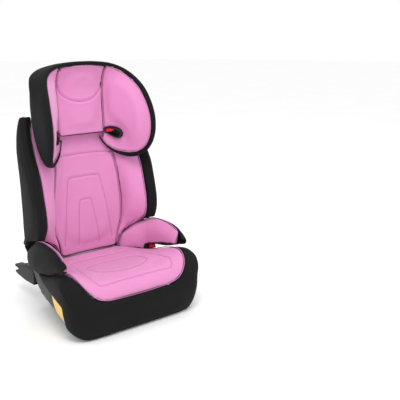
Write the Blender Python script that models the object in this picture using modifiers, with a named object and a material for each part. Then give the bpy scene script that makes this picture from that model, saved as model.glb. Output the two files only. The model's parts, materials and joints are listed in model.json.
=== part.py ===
"""High-back booster seat with a removable backrest and sliding anchor connectors.

Lengths are in millimetres and are scaled to metres when a mesh is made.
X runs across the seat, -Y is the front and +Z is up. The origin lies on the flat
underside of the base, on the seat's plane of symmetry.
"""

import math

import bmesh
import bpy
import numpy as np
from mathutils import Matrix, Vector

MM = 0.001
GAP = 0.4                       # clearance between touching pieces
MERGE = 0.00005                 # merge distance of modifiers, metres

# --- driving dimensions of the base -------------------------------------------------
BASE_REAR = 133.0               # from the origin to the rear wall
BASE_HALF_WIDTH = 229.0         # widest point of the skirt
FRONT_CORNER_RADIUS = 46.0
REAR_CORNER_RADIUS = 42.0
SKIRT_THICKNESS = 6.0
WALL = 3.0                      # moulded shell thickness
PAD_THICKNESS = 9.0             # wadded seat cover

# --- driving dimensions of the backrest ----------------------------------------------
RECLINE_SLOPE = 0.13            # lean of the back cushion, y per z
BACK_FOOT_Z = 154.0             # lower edge of the back cushion
BACK_FOOT_Y = 64.0              # its front face at that height
HINGE_Y = 109.0
HINGE_Z = 122.0
HINGE_X = 62.0                  # the two hinge hooks stand at +-HINGE_X

# --- driving dimensions of the headrest ----------------------------------------------
HEAD_PANEL_X = 75.0             # half width of the flat middle panel
HEAD_PANEL_BOTTOM = 512.0

# --- driving dimensions of the anchor connectors -------------------------------------
ANCHOR_X = 140.0                # the two anchor points are 280 mm apart
ANCHOR_Z = 78.0

PARTS = "booster_seat"
CUTTERS = "cutters"


# --- helpers ---------------------------------------------------------------------------
def clear_scene():
    """Remove every object, so that the script can be run again."""
    for obj in list(bpy.data.objects):
        bpy.data.objects.remove(obj, do_unlink=True)


def make_collection(name):
    """A collection linked to the scene."""
    collection = bpy.data.collections.get(name) or bpy.data.collections.new(name)
    if name not in bpy.context.scene.collection.children:
        bpy.context.scene.collection.children.link(collection)
    return collection


def material(name, colour, roughness, metallic=0.0):
    """A Principled material; colour is linear RGB."""
    mat = bpy.data.materials.get(name)
    if mat is None:
        mat = bpy.data.materials.new(name)
        mat.use_nodes = True
        shader = mat.node_tree.nodes["Principled BSDF"]
        shader.inputs["Base Color"].default_value = (*colour, 1.0)
        shader.inputs["Roughness"].default_value = roughness
        shader.inputs["Metallic"].default_value = metallic
        mat.diffuse_color = (*colour, 1.0)
    return mat


def pink():
    return material("pink_fabric", (0.78, 0.27, 0.59), 0.75)


def black():
    return material("black_fabric", (0.018, 0.018, 0.019), 0.85)


def dark_plastic():
    return material("dark_plastic", (0.03, 0.03, 0.031), 0.45)


def grey_plastic():
    return material("grey_plastic", (0.09, 0.09, 0.095), 0.5)


def foam_white():
    return material("expanded_foam", (0.72, 0.72, 0.7), 0.9)


def red_plastic():
    return material("red_plastic", (0.78, 0.01, 0.02), 0.4)


def yellow_label():
    return material("yellow_label", (0.93, 0.58, 0.06), 0.5)


def steel():
    return material("zinc_steel", (0.5, 0.5, 0.52), 0.35, 1.0)


def link(name, mesh, mat, collection=PARTS):
    """An object for a mesh, in a collection, with one material."""
    obj = bpy.data.objects.new(name, mesh)
    bpy.data.collections[collection].objects.link(obj)
    if mat is not None:
        mesh.materials.append(mat)
    return obj


def from_bmesh(name, bm, mat, collection=PARTS, outward=True):
    """Turn a bmesh into an object, with its faces pointing out."""
    if outward:
        bmesh.ops.recalc_face_normals(bm, faces=bm.faces)
        if bm.calc_volume(signed=True) < 0:
            bmesh.ops.reverse_faces(bm, faces=bm.faces)
    mesh = bpy.data.meshes.new(name)
    bm.to_mesh(mesh)
    bm.free()
    mesh.shade_smooth()
    mesh.set_sharp_from_angle(angle=math.radians(40))
    return link(name, mesh, mat, collection)


def spline(points, count):
    """Points along a Catmull-Rom curve through the given points."""
    pts = np.array(points, float)
    ext = np.vstack([2 * pts[0] - pts[1], pts, 2 * pts[-1] - pts[-2]])
    spans = len(pts) - 1
    out = []
    for t in np.linspace(0, spans, count):
        i = min(int(t), spans - 1)
        f = t - i
        a, b, c, d = ext[i:i + 4]
        out.append(b + 0.5 * f * (c - a + f * (2 * a - 5 * b + 4 * c - d + f * (3 * (b - c) + d - a))))
    return np.array(out)


def along(table, at):
    """Linear interpolation in a table of (position, value) pairs."""
    xs, values = zip(*table)
    return float(np.interp(at, xs, values))


def smooth_step(at, start, end):
    """0 before start, 1 after end, with a soft change between."""
    f = min(max((at - start) / (end - start), 0.0), 1.0)
    return f * f * (3 - 2 * f)


def grid_mesh(rows, closed=False):
    """A bmesh sheet through rows of points; closed joins the ends of each row."""
    bm = bmesh.new()
    verts = [[bm.verts.new(Vector(p) * MM) for p in row] for row in rows]
    for low, high in zip(verts, verts[1:]):
        count = len(low)
        for i in range(count if closed else count - 1):
            j = (i + 1) % count
            bm.faces.new((low[i], low[j], high[j], high[i]))
    return bm


def skin(name, rows, thickness, inside, mat, closed=False, even=True):
    """A sheet given thickness towards the point `inside`."""
    bm = grid_mesh(rows, closed)
    target = Vector(inside) * MM
    facing = sum((target - f.calc_center_median()).dot(f.normal) * f.calc_area()
                 for f in bm.faces if (f.normal_update() or True))
    if facing > 0:
        bmesh.ops.reverse_faces(bm, faces=bm.faces)
    obj = from_bmesh(name, bm, mat, outward=False)
    shell = obj.modifiers.new("thickness", "SOLIDIFY")
    shell.thickness = thickness * MM
    shell.offset = -1.0
    shell.use_even_offset = even
    return obj


def loft(name, rings, mat, collection=PARTS):
    """A closed solid through rings of points, capped at both ends."""
    bm = grid_mesh(rings, closed=True)
    bm.verts.ensure_lookup_table()
    count = len(rings[0])
    bm.faces.new([bm.verts[i] for i in reversed(range(count))])
    bm.faces.new([bm.verts[len(bm.verts) - count + i] for i in range(count)])
    return from_bmesh(name, bm, mat, collection)


def box(name, low, high, mat, bevel=0.0, collection=PARTS):
    """A block between two corners, with rounded edges."""
    low, high = Vector(low), Vector(high)
    bm = bmesh.new()
    bmesh.ops.create_cube(bm, size=1.0)
    size = (high - low) * MM
    centre = (high + low) / 2 * MM
    bmesh.ops.transform(bm, matrix=Matrix.Translation(centre) @ Matrix.Diagonal((*size, 1)), verts=bm.verts)
    if bevel:
        bmesh.ops.bevel(bm, geom=bm.edges, offset=bevel * MM, segments=2, profile=0.5, affect="EDGES")
    return from_bmesh(name, bm, mat, collection)


AXES = {"X": Matrix.Rotation(math.pi / 2, 4, "Y"), "Y": Matrix.Rotation(math.pi / 2, 4, "X"),
        "Z": Matrix.Identity(4)}


def rod(name, centre, radius, length, axis, mat, segments=24, collection=PARTS):
    """A round bar along an axis."""
    bm = bmesh.new()
    place = Matrix.Translation(Vector(centre) * MM) @ AXES[axis]
    bmesh.ops.create_cone(bm, cap_ends=True, segments=segments, radius1=radius * MM, radius2=radius * MM,
                          depth=length * MM, matrix=place)
    return from_bmesh(name, bm, mat, collection)


def plate(name, outline, low, high, axis, mat, bevel=0.0, collection=PARTS):
    """A flat outline in the plane square to an axis, extruded between two heights."""
    def place(u, v, height):
        return {"X": (height, u, v), "Y": (u, height, v), "Z": (u, v, height)}[axis]

    rings = [[place(u, v, height) for u, v in outline] for height in (low, high)]
    obj = loft(name, rings, mat, collection)
    if bevel:
        add_bevel(obj, bevel)
    return obj


def add_bevel(obj, width, segments=2):
    """Round the sharp edges of an object."""
    mod = obj.modifiers.new("edges", "BEVEL")
    mod.width = width * MM
    mod.segments = segments
    mod.limit_method = "ANGLE"
    mod.angle_limit = math.radians(40)
    return obj


def cut(obj, *cutters):
    """Cut shapes out of an object."""
    for cutter in cutters:
        combine(obj, cutter, "DIFFERENCE")
    return obj


def join(obj, *others):
    """Unite shapes with an object."""
    for other in others:
        combine(obj, other, "UNION")
    return obj


def set_origin(obj, place):
    """Move an object's origin to a point, leaving its shape where it is."""
    shift = Vector(place) * MM
    obj.data.transform(Matrix.Translation(-shift))
    obj.location = shift
    return obj


def combine(obj, other, operation):
    """A Boolean modifier, with the other shape kept as a guide."""
    other.hide_render = True
    other.display_type = "WIRE"
    mod = obj.modifiers.new(operation.lower(), "BOOLEAN")
    mod.operation = operation
    mod.object = other
    mod.solver = "EXACT"


def mirrored(rings):
    """The same points on the other side of the plane of symmetry."""
    return [[(-x, y, z) for x, y, z in ring] for ring in rings]


SIDES = (("right", 1), ("left", -1))


def for_side(rings, side):
    """Points drawn for +X, moved to the wanted side."""
    return rings if side > 0 else mirrored(rings)


# --- base: outline shared by shell, skirt and tray -------------------------------------
FRONT_X = (0, 60, 120)
SIDE_Y = (-150, -100, -50, 0, 50)
WALL_INSET = SKIRT_THICKNESS + 4.0   # the tub's wall stands this far inside the skirt's outline
ARC_STEPS = 5
FRONT_DEPTH = ((0, -200), (15, -208), (50, -216), (85, -216), (97, -212), (110, -215), (140, -218),
               (200, -216))
FRONT_WIDTH = ((0, 197), (15, 206), (60, 220), (120, 227), (160, 229), (185, 225))
REAR_WIDTH = ((0, 146), (44, 163), (60, 170), (90, 178), (127, 186), (140, 190), (180, 198))


def base_half(z, inset, rear=True):
    """Half of the base's outline at height z, from the front centre to the rear centre."""
    front = along(FRONT_DEPTH, z) + inset
    wide = along(FRONT_WIDTH, z) - inset
    narrow = along(REAR_WIDTH, z) - inset
    radius = FRONT_CORNER_RADIUS - inset * 0.5
    points = [(x * (wide - radius) / (BASE_HALF_WIDTH - radius) * 1.1, front) for x in FRONT_X]
    for step in range(ARC_STEPS):
        turn = math.pi / 2 * step / (ARC_STEPS - 1)
        points.append((wide - radius + radius * math.sin(turn), front + radius - radius * math.cos(turn)))
    for y in SIDE_Y:
        points.append((wide + (narrow - wide) * (y + 150) / 240, y))
    if not rear:
        points.append((narrow, 88))
        return points
    back = BASE_REAR - inset
    radius = REAR_CORNER_RADIUS - inset * 0.5
    for step in range(ARC_STEPS):
        turn = math.pi / 2 * step / (ARC_STEPS - 1)
        points.append((narrow - radius + radius * math.cos(turn), back - radius + radius * math.sin(turn)))
    points += [(80, back), (0, back)]
    return points


def whole_loop(half):
    """A half outline closed by its mirror image; its first and last points are on the plane."""
    return half + [(-x, y, z) for x, y, z in reversed(half[1:-1])]


LOWER_EDGE = ((-212, 0), (-202, 7), (-188, 17), (-170, 29), (-150, 38), (-100, 41), (133, 43))
WALL_TOP = ((-216, 80), (-205, 86), (-190, 108), (-175, 128), (-150, 148), (-110, 149), (-85, 141),
            (-60, 130), (-20, 126), (133, 126))


def lower_edge(y):
    """The walls rise round the front corners and stay clear of the vehicle's buckle."""
    return along(LOWER_EDGE, y)


def wall_rows():
    """Half outlines of the tub's wall, from its lower edge to its top."""
    rows = []
    for f in (0.0, 0.12, 0.35, 0.7, 1.0):
        half = []
        for i, (_, y) in enumerate(base_half(60, WALL_INSET)):
            low, high = lower_edge(y), along(WALL_TOP, y)
            z = low + (high - low) * f
            px, py = base_half(z, WALL_INSET)[i]
            half.append((px, py, z))
        rows.append(half)
    return rows


def base_shell():
    """The moulded tub: a wall all round, with windows for the connectors."""
    rows = [whole_loop(half) for half in wall_rows()]
    shell = skin("base_shell", rows, WALL, (0, -40, 70), dark_plastic(), closed=True)
    for name, side in SIDES:
        x = side * ANCHOR_X
        cut(shell, box(f"window_{name}", (x - 18, 60, 49), (x + 18, 150, 112), None, 0, CUTTERS))
    return cut(shell, box("hinge_notch", (-96, 100, 100), (96, 150, 150), None, 0, CUTTERS))


def base_tray():
    """The bottom tray that carries the flat underside."""
    inset = WALL_INSET + WALL + 6.0
    top = []
    bottom = []
    for i, (_, y) in enumerate(base_half(60, inset)):
        low = lower_edge(y) + 2
        x, py = base_half(low, inset)[i]
        top.append((x, py, low))
        squeeze = 0.86 - 0.17 * smooth_step(y, -150, 60)
        bottom.append((x * squeeze, py * (0.97 if py < 0 else 0.86), 0.0))
    rows = [whole_loop(bottom), whole_loop(top)]
    bm = grid_mesh(rows, closed=True)
    bm.verts.ensure_lookup_table()
    bm.faces.new([bm.verts[i] for i in range(len(rows[0]))])
    bmesh.ops.recalc_face_normals(bm, faces=bm.faces)
    for face in bm.faces:
        if len(face.verts) > 4 and face.normal.z > 0:
            bmesh.ops.reverse_faces(bm, faces=bm.faces)
            break
    tray = from_bmesh("base_tray", bm, grey_plastic(), outward=False)
    shell = tray.modifiers.new("thickness", "SOLIDIFY")
    shell.thickness = WALL * MM
    shell.offset = -1.0
    return tray


# seam between the pink seat and the black skirt, from the front corner to the rear
SEAT_SEAM = ((110, -205, 104), (138, -204, 113), (154, -200, 128), (167, -192, 145), (176, -178, 162),
             (181, -158, 175), (182, -130, 178), (179, -90, 170), (173, -45, 154), (163, 0, 143),
             (134, 34, 148), (98, 66, 151), (98, 92, 151))
# (y, z) of the seat's middle line, row by row with the seam above
SEAT_MIDDLE = ((-205, 100), (-206, 110), (-203, 122), (-196, 134), (-183, 143), (-160, 147), (-130, 145),
               (-90, 142), (-45, 139), (0, 139), (34, 142), (66, 146), (92, 146))
SEAT_ACROSS = (0, 0.28, 0.52, 0.72, 0.87, 1.0)


def seat_row(edge, middle, inset, drop):
    """One row of the seat's surface from side to side, stopping short of the seam and lowered."""
    ex, ey, ez = edge
    my, mz = middle
    half = []
    for across in SEAT_ACROSS:
        u = across * (ex - inset) / ex
        half.append((ex * u, my + (ey - my) * u ** 2.5, mz + (ez - mz) * u ** 2.2 - drop))
    return [(-x, y, z) for x, y, z in reversed(half[1:])] + half


def seat_pad():
    """The pink wadded seat cover."""
    rows = [seat_row(edge, middle, 1.5, 0) for edge, middle in zip(SEAT_SEAM, SEAT_MIDDLE)]
    return skin("seat_pad", rows, PAD_THICKNESS, (0, -40, 0), pink())


def seat_foam():
    """The block of expanded foam under the seat cover."""
    bottom = 107.0
    rings = []
    for edge, middle in list(zip(SEAT_SEAM, SEAT_MIDDLE))[4:]:
        top = seat_row(edge, middle, 24, PAD_THICKNESS + 3.5)
        inner = [(x, max(y, -176.0), z) for x, y, z in top]
        rings.append(inner + [(x, y, bottom) for x, y, _ in reversed(inner)])
    return loft("seat_foam", rings, foam_white())


# --- skirt ---------------------------------------------------------------------------
# height of the skirt's top edge, along the outline's length (y)
CREST_Z = ((-216, 98), (-205, 104), (-192, 136), (-178, 158), (-150, 176), (-130, 177), (-90, 166),
           (-45, 146), (0, 137), (88, 135))
LABEL_GAP_TOP = ((-155, 101), (-70, 113), (0, 127), (60, 133), (88, 134))


def skirt_seam(index, count, y):
    """Point of the inner edge of the skirt for an outline station."""
    path = spline([(0, -206, 98), (60, -206, 99), (112, -206.5, 102), (140, -205.5, 111), (156, -201.5, 126),
                   (169, -193, 143), (178, -179, 160), (183, -158, 173)], count)
    if index < count:
        return tuple(path[index])
    table_x = ((-150, 184), (-130, 184.5), (-90, 182), (-45, 180), (0, 180), (88, 178))
    table_z = ((-150, 175), (-130, 176), (-90, 167), (-45, 150), (0, 137), (88, 135))
    return (along(table_x, y), y, along(table_z, y) - 1)


def base_skirt():
    """The black fabric round the front and the sides of the base."""
    front_count = len(FRONT_X) + ARC_STEPS
    columns = []
    for i, (_, y) in enumerate(base_half(60, 0, rear=False)):
        crest = along(CREST_Z, base_half(100, 0, rear=False)[i][1])
        lowest = along(((-212, 1.5), (-202, 8), (-188, 18), (-170, 30), (-150, 40), (-100, 70), (88, 110)), y)
        if i >= front_count - 2:
            crest = along(CREST_Z, y)
        seam = skirt_seam(i, front_count, y)
        upper = max(crest - 14, lowest + 1)
        column = [seam]
        ox, oy = base_half(upper, 0, rear=False)[i]
        column.append((seam[0] + (ox - seam[0]) * 0.62, seam[1] + (oy - seam[1]) * 0.62, crest + 1))
        for f in (0.0, 0.3, 0.65, 0.9, 1.0):
            z = upper + (lowest - upper) * f
            px, py = base_half(z, 0, rear=False)[i]
            column.append((px, py, z))
        columns.append(column)
    rows = [[column[k] for column in columns] for k in range(len(columns[0]))]
    rows = [[(-x, y, z) for x, y, z in reversed(row[1:])] + row for row in rows]
    skirt = skin("base_skirt", rows, SKIRT_THICKNESS, (0, -40, 60), black(), even=False)
    edge = [(-158, -10), (-158, 100.5), *LABEL_GAP_TOP[1:], (110, 134), (110, -10)]
    for name, side in SIDES:
        low, high = sorted((side * 120, side * 240))
        cut(skirt, plate(f"skirt_edge_{name}", edge, low, high, "X", None, 0, CUTTERS))
    return skirt


def wall_x(y, z):
    """Half width of the tub's wall at a point of its side."""
    half_rows = wall_rows()
    first = len(FRONT_X) + ARC_STEPS
    stations = []
    for i, station in enumerate(SIDE_Y):
        column = [(row[first + i][2], row[first + i][0]) for row in half_rows]
        stations.append((station, along(column, z)))
    return along(stations, y)


def side_label():
    """The plain sticker on the bare wall behind the skirt's edge."""
    rows = []
    for f in (0.0, 0.2, 0.45, 0.7, 1.0):
        row = []
        for y in (-155, -131, -107, -83, -60):
            top = along(LABEL_GAP_TOP, y) - 3
            low = lower_edge(y) + 4
            z = low + (top - low) * f
            row.append((-wall_x(y, z) - 1.9, y, z))
        rows.append(row)
    return skin("side_label", rows, 0.5, (0, -100, 70), yellow_label())


# --- armrests ------------------------------------------------------------------------
# outlines across the right armrest: y, then (x, z) from the seat up the inside to the
# ridge seam (first four points), and down the outside to the lower edge (last four)
ARMREST_SECTIONS = (
    (87, ((106, 143), (116, 176), (148, 190), (180, 194), (192, 191), (198, 174), (195, 152), (187, 142))),
    (60, ((108, 142), (113, 186), (146, 211), (181, 215), (196, 210), (204, 182), (203, 153), (195, 142))),
    (30, ((140, 138), (145, 188), (165, 219), (188, 229), (202, 224), (210, 192), (209, 158), (201, 142))),
    (12, ((158, 138), (161, 187), (173, 221), (191, 235), (205, 230), (213, 198), (213, 162), (204, 144))),
    (0, ((168, 160), (169, 189), (177, 223), (193, 239), (207, 234), (215, 201), (214, 168), (205, 150))),
    (-30, ((172, 167), (173, 191), (180, 227), (195, 242), (209, 237), (216, 206), (215, 170), (206, 152))),
    (-60, ((177, 175), (178, 198), (183, 227), (195, 241), (209, 236), (216, 207), (215, 174), (207, 157))),
    (-90, ((180, 180), (181, 199), (186, 222), (195, 236), (209, 233), (217, 209), (216, 182), (206, 166))),
    (-112, ((182, 181), (183, 198), (187, 217), (195, 228), (208, 226), (216, 208), (215, 186), (205, 175))),
    (-126, ((185, 183), (186, 195), (190, 210), (196, 219), (207, 218), (215, 204), (214, 187), (203, 181))),
)
ARMREST_TIP = ((-140, ((191, 206), (200, 212), (209, 209), (213, 197), (205, 183), (191, 185))),
               (-151, ((196, 199), (201, 202), (207, 200), (209, 193), (205, 187), (197, 189))))
UNDERCUT_FROM = 5             # in front of this the armrest hangs over the belt slot
PAD_DEPTH = 7.0
COVER_DEPTH = 4.0


def inset_ring(ring, distance):
    """A closed outline moved inwards by a distance along its corner bisectors."""
    pts = np.array(ring, float)
    edge = np.roll(pts, -1, axis=0) - pts
    edge /= np.linalg.norm(edge, axis=1)[:, None]
    normal = np.stack([-edge[:, 1], edge[:, 0]], axis=1)
    area = np.sum(pts[:, 0] * np.roll(pts[:, 1], -1) - np.roll(pts[:, 0], -1) * pts[:, 1])
    normal *= 1 if area > 0 else -1
    corner = normal + np.roll(normal, 1, axis=0)
    corner /= np.linalg.norm(corner, axis=1)[:, None]
    reach = distance / np.clip(np.sum(corner * normal, axis=1), 0.5, 1)
    return pts + corner * reach[:, None]


def armrest_pad(name, side):
    """The pink inner face of an armrest."""
    rows = []
    for y, points in ARMREST_SECTIONS:
        ridge_x, ridge_z = points[3]
        rise = [(x, z) for x, z in spline(points[:4], 6)[:-1]]
        ridge = [(ridge_x - 4.5, ridge_z - 1.2), (ridge_x + 0.2, ridge_z)]
        rows.append([(x, y, z) for x, z in rise + ridge])
    rows = for_side(rows, side)
    return skin(f"armrest_pad_{name}", rows, PAD_DEPTH, (side * 215, -20, 160), pink())


def armrest_cover(name, side):
    """The black outer cover of an armrest, closed round its tip."""
    rows = []
    for y, points in ARMREST_SECTIONS:
        ridge, outer = points[3], points[4:]
        end = (points[7][0] - 8, points[7][1] + 1)
        if y < UNDERCUT_FROM:
            end = (points[0][0] + 9, points[0][1])
        shifted = [(ridge[0] + 2.8, ridge[1]), *outer, (end[0] + 1.2, end[1] - 1.0)]
        rows.append([(x, y, z) for x, z in shifted])
    for y, points in ARMREST_TIP:
        rows.append([(x, y, z) for x, z in points])
    rows = for_side(rows, side)
    return skin(f"armrest_cover_{name}", rows, COVER_DEPTH, (side * 195, 20, 185), black())


def armrest_core(name, side):
    """The moulded arm under the pad and the cover."""
    rings = []
    for y, points in ARMREST_SECTIONS[:-1]:
        inner = inset_ring(points, PAD_DEPTH + 4.5)
        rings.append([(x, min(y, 84), z) for x, z in inner])
    rings = for_side(rings, side)
    return loft(f"armrest_core_{name}", rings, dark_plastic())


def lap_belt_guide(name, side):
    """The red hook at the rear end of the belt slot."""
    outline = [(-26, 149), (-25, 153), (-19, 158), (-6, 157), (0, 152), (2, 142)]
    low, high = sorted((side * 175.5, side * 184.5))
    return plate(f"lap_belt_guide_{name}", outline, low, high, "X", red_plastic(), 1.0)


# --- anchor connectors -----------------------------------------------------------------
GUIDE_FRONT_Y = 20.0
GUIDE_REAR_Y = 56.0
CROSSBAR_Y = 8.0
CROSSBAR_RADIUS = 8.0


def anchor_guide(name, side):
    """The sleeve in the base that an anchor arm slides in."""
    x = side * ANCHOR_X
    sleeve = box(f"anchor_guide_{name}", (x - 20, GUIDE_FRONT_Y, ANCHOR_Z - 27),
                 (x + 20, GUIDE_REAR_Y, ANCHOR_Z + 26), grey_plastic(), 1.5)
    bore = box(f"guide_bore_{name}", (x - 17, GUIDE_FRONT_Y - 10, ANCHOR_Z - 24),
               (x + 17, GUIDE_REAR_Y + 10, ANCHOR_Z + 24), None, 0, CUTTERS)
    return cut(sleeve, bore)


def anchor_crossbar():
    """The steel tube that joins the two anchor arms."""
    reach = ANCHOR_X - 4 - GAP
    mesh = tube_mesh([(-reach, CROSSBAR_Y, ANCHOR_Z), (reach, CROSSBAR_Y, ANCHOR_Z)], CROSSBAR_RADIUS)
    return link("anchor_crossbar", mesh, steel())


def tube_mesh(points, radius):
    """A welded mesh of a round bar with filled caps, from a poly curve."""
    curve = bpy.data.curves.new("bar", "CURVE")
    curve.dimensions = "3D"
    curve.bevel_depth = radius * MM
    curve.bevel_resolution = 4
    curve.use_fill_caps = True
    line = curve.splines.new("POLY")
    line.points.add(len(points) - 1)
    for point, place in zip(line.points, points):
        point.co = (*(Vector(place) * MM), 1)
    holder = link("bar", curve, None, CUTTERS)
    graph = bpy.context.evaluated_depsgraph_get()
    mesh = bpy.data.meshes.new_from_object(holder.evaluated_get(graph))
    bm = bmesh.new()
    bm.from_mesh(mesh)
    bmesh.ops.remove_doubles(bm, verts=bm.verts, dist=MERGE)
    bmesh.ops.recalc_face_normals(bm, faces=bm.faces)
    bm.to_mesh(mesh)
    bm.free()
    mesh.shade_smooth()
    mesh.set_sharp_from_angle(angle=math.radians(40))
    bpy.data.objects.remove(holder, do_unlink=True)
    return mesh


def anchor_arm(name, side):
    """The flat steel bar that carries a connector."""
    x = side * ANCHOR_X
    return box(f"anchor_arm_{name}", (x - 4, 0, ANCHOR_Z - 14), (x + 4, 205, ANCHOR_Z + 14), steel(), 1)


CONNECTOR_PROFILE = ((142, 56), (142, 100), (172, 102), (226, 100), (252, 93), (268, 92), (270, 88),
                     (269, 84), (249, 82), (246, 78), (249, 74), (267, 72), (269, 68), (266, 64),
                     (248, 61), (200, 55))
CONNECTOR_HALF = 13.0


def connector_housing(name, side):
    """The plastic housing of a connector; its mouth opens to the rear."""
    x = side * ANCHOR_X
    body = plate(f"connector_housing_{name}", CONNECTOR_PROFILE, x - CONNECTOR_HALF, x + CONNECTOR_HALF, "X",
                 dark_plastic(), 2.0)
    slot = box(f"connector_slot_{name}", (x - 5, 130, ANCHOR_Z - 15),
               (x + 5, 218, ANCHOR_Z + 15), None, 0, CUTTERS)
    throat = box(f"connector_throat_{name}", (x - 5, 214, ANCHOR_Z - 30),
                 (x + 5, 290, ANCHOR_Z + 9), None, 0, CUTTERS)
    button_seat = box(f"connector_button_seat_{name}", (x - 6.5, 173, ANCHOR_Z + 12),
                      (x + 6.5, 213, ANCHOR_Z + 40), None, 0, CUTTERS)
    return cut(body, slot, throat, button_seat)


JAW_PIVOT = (226.0, 78.0)


def connector_jaw(name, side):
    """The steel hook that closes round the anchor bar."""
    x = side * ANCHOR_X
    outline = [(221, 81), (221, 75), (226, 71), (240, 71), (263, 70.5), (263, 74), (246, 74.5), (243, 77),
               (240, 80), (233, 84), (226, 84)]
    jaw = plate(f"connector_jaw_{name}", outline, x - 3.5, x + 3.5, "X", steel())
    return set_origin(jaw, (x, *JAW_PIVOT))


def connector_button(name, side):
    """The sliding release button on top of a connector."""
    x = side * ANCHOR_X
    block = box(f"connector_button_{name}", (x - 6, 174, 93.5), (x + 6, 202, 105), grey_plastic(), 1)
    rib = box(f"button_rib_{name}", (x - 6, 184, 104), (x + 6, 187, 107), None, 0, CUTTERS)
    return join(block, rib)


def anchor_release_bar():
    """The bar that frees the sliding arms; it slides 8 mm to the rear."""
    low, high = ANCHOR_Z - 13, ANCHOR_Z - CROSSBAR_RADIUS - 1
    outline = [(-44, -6), (-36, -6), (-36, 30), (36, 30), (36, -6), (44, -6), (44, 34), (38, 40),
               (-38, 40), (-44, 34)]
    return plate("anchor_release_bar", outline, low, high, "Z", red_plastic(), 1)


# --- backrest --------------------------------------------------------------------------
PANEL_HALF = ((154, 95), (205, 100), (228, 115), (300, 117), (375, 107), (443, 97), (572, 88))
PANEL_SEAM_Y = ((154, 62), (415, 62), (436, 68), (455, 80), (480, 90), (512, 99), (572, 108))
RIM_X = ((212, 164), (240, 167), (400, 168), (500, 166), (545, 160), (572, 150))
RIM_Y = ((212, 56), (220, 46), (228, 31), (236, 16), (246, 5), (262, -2), (295, -4), (322, 0), (358, 9),
         (395, 19), (422, 26), (450, 44), (480, 60), (510, 72), (545, 87), (572, 98))
# x and y from the rim, lowest and highest z, and the least distance in front of the rear edge
COVER_STEPS = ((3.7, -1, 231, 573, 12), (11, -11, 238, 576, 16), (24, -17, 243, 578, 18),
               (35, -9, 240, 578, 16), (37, 24, 224, 573, 9), (32, 61, 206, 560, 3.5))
COVER_REAR = (22, 112, 190, 546)
# lower edge of a wing's pad, from the seam (0) to the rim (1)
WING_FOOT = ((0, 160), (0.2, 191.5), (0.4, 199.5), (0.6, 207.5), (0.8, 213.7), (1, 219.5))
BACK_PAD_DEPTH = 7.5
BACK_LEVELS = 12


def centre_y(z):
    """Front face of the back cushion on the middle line."""
    return BACK_FOOT_Y + RECLINE_SLOPE * (z - BACK_FOOT_Z)


def back_centre_pad():
    """The pink middle cushion of the backrest."""
    rows = []
    for z in np.linspace(BACK_FOOT_Z + 2, 571, BACK_LEVELS):
        half, seam = along(PANEL_HALF, z) - 1.5, along(PANEL_SEAM_Y, z)
        row = []
        for u in np.linspace(-1, 1, 11):
            bend = abs(u) ** 3
            row.append((half * u, centre_y(z) + (seam - centre_y(z)) * bend, z))
        rows.append(row)
    return skin("back_centre_pad", rows, BACK_PAD_DEPTH, (0, 300, 300), pink())


def back_wing_point(s, z):
    """Point of a wing's inner face: s is 0 at the panel's seam and 1 at the rim."""
    x0, y0 = along(PANEL_HALF, z) + 1, along(PANEL_SEAM_Y, z)
    x1, y1 = along(RIM_X, z), along(RIM_Y, z)
    bulge = 5 * math.sin(math.pi * s)
    return (x0 + (x1 - x0) * s - bulge * 0.4, y0 + (y1 - y0) * s - bulge * 0.6, z)


def back_wing_pad(name, side):
    """The pink inner face of a side wing."""
    rows = []
    for f in np.linspace(0, 1, BACK_LEVELS):
        row = []
        for s in np.linspace(0, 1, 6):
            low, high = along(WING_FOOT, s), 570 + 2 * s
            row.append(back_wing_point(s, low + (high - low) * f))
        rows.append(row)
    return skin(f"back_wing_pad_{name}", for_side(rows, side), BACK_PAD_DEPTH, (side * 185, 300, 300), pink())


def back_cover(name, side):
    """The black cover round the outside of a side wing."""
    rows = []
    for f in np.linspace(0, 1, BACK_LEVELS):
        row = []
        for dx, dy, low, high, ahead in COVER_STEPS:
            z = low + (high - low) * f
            row.append((along(RIM_X, z) + dx, min(along(RIM_Y, z) + dy, COVER_REAR[1] - ahead), z))
        dx, y, low, high = COVER_REAR
        z = low + (high - low) * f
        row.append((along(RIM_X, z) + dx, y, z))
        rows.append(row)
    return skin(f"back_cover_{name}", for_side(rows, side), COVER_DEPTH, (side * 160, 110, 400), black())


SHELL_SET_BACK = 17.0


def shell_y(z):
    """Front face of the moulded shell behind the middle cushion."""
    return centre_y(z) + SHELL_SET_BACK


def wing_shell_y(x_from_rim, z):
    """Front face of the moulded shell behind a side wing."""
    return max(along(((-14, 103), (10, 112)), x_from_rim), along(RIM_Y, z) + 16)


def back_shell():
    """The moulded shell of the backrest, with its sides turned forward."""
    rows = []
    for f in np.linspace(0, 1, BACK_LEVELS):
        z = 159 + (573 - 159) * f
        half = along(PANEL_HALF, z)
        row = [(half * u, shell_y(z), z) for u in (0, 0.35, 0.7)]
        row.append((half + 2, max(along(PANEL_SEAM_Y, z) + 14 + SHELL_SET_BACK, 84), z))
        for dx, low in ((-14, 212), (10, 198)):
            zz = low + (562 - low) * f
            row.append((along(RIM_X, zz) + dx, wing_shell_y(dx, zz), zz))
        for dx, y, low in ((15, 84, 212), (17, 56, 226)):
            zz = low + (562 - low) * f
            row.append((along(RIM_X, zz) + dx, max(y, along(RIM_Y, zz) + 14), zz))
        rows.append(row)
    full = [[(-x, y, z) for x, y, z in reversed(row[1:])] + row for row in rows]
    return skin("back_shell", full, WALL, (0, 500, 300), dark_plastic())


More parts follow.
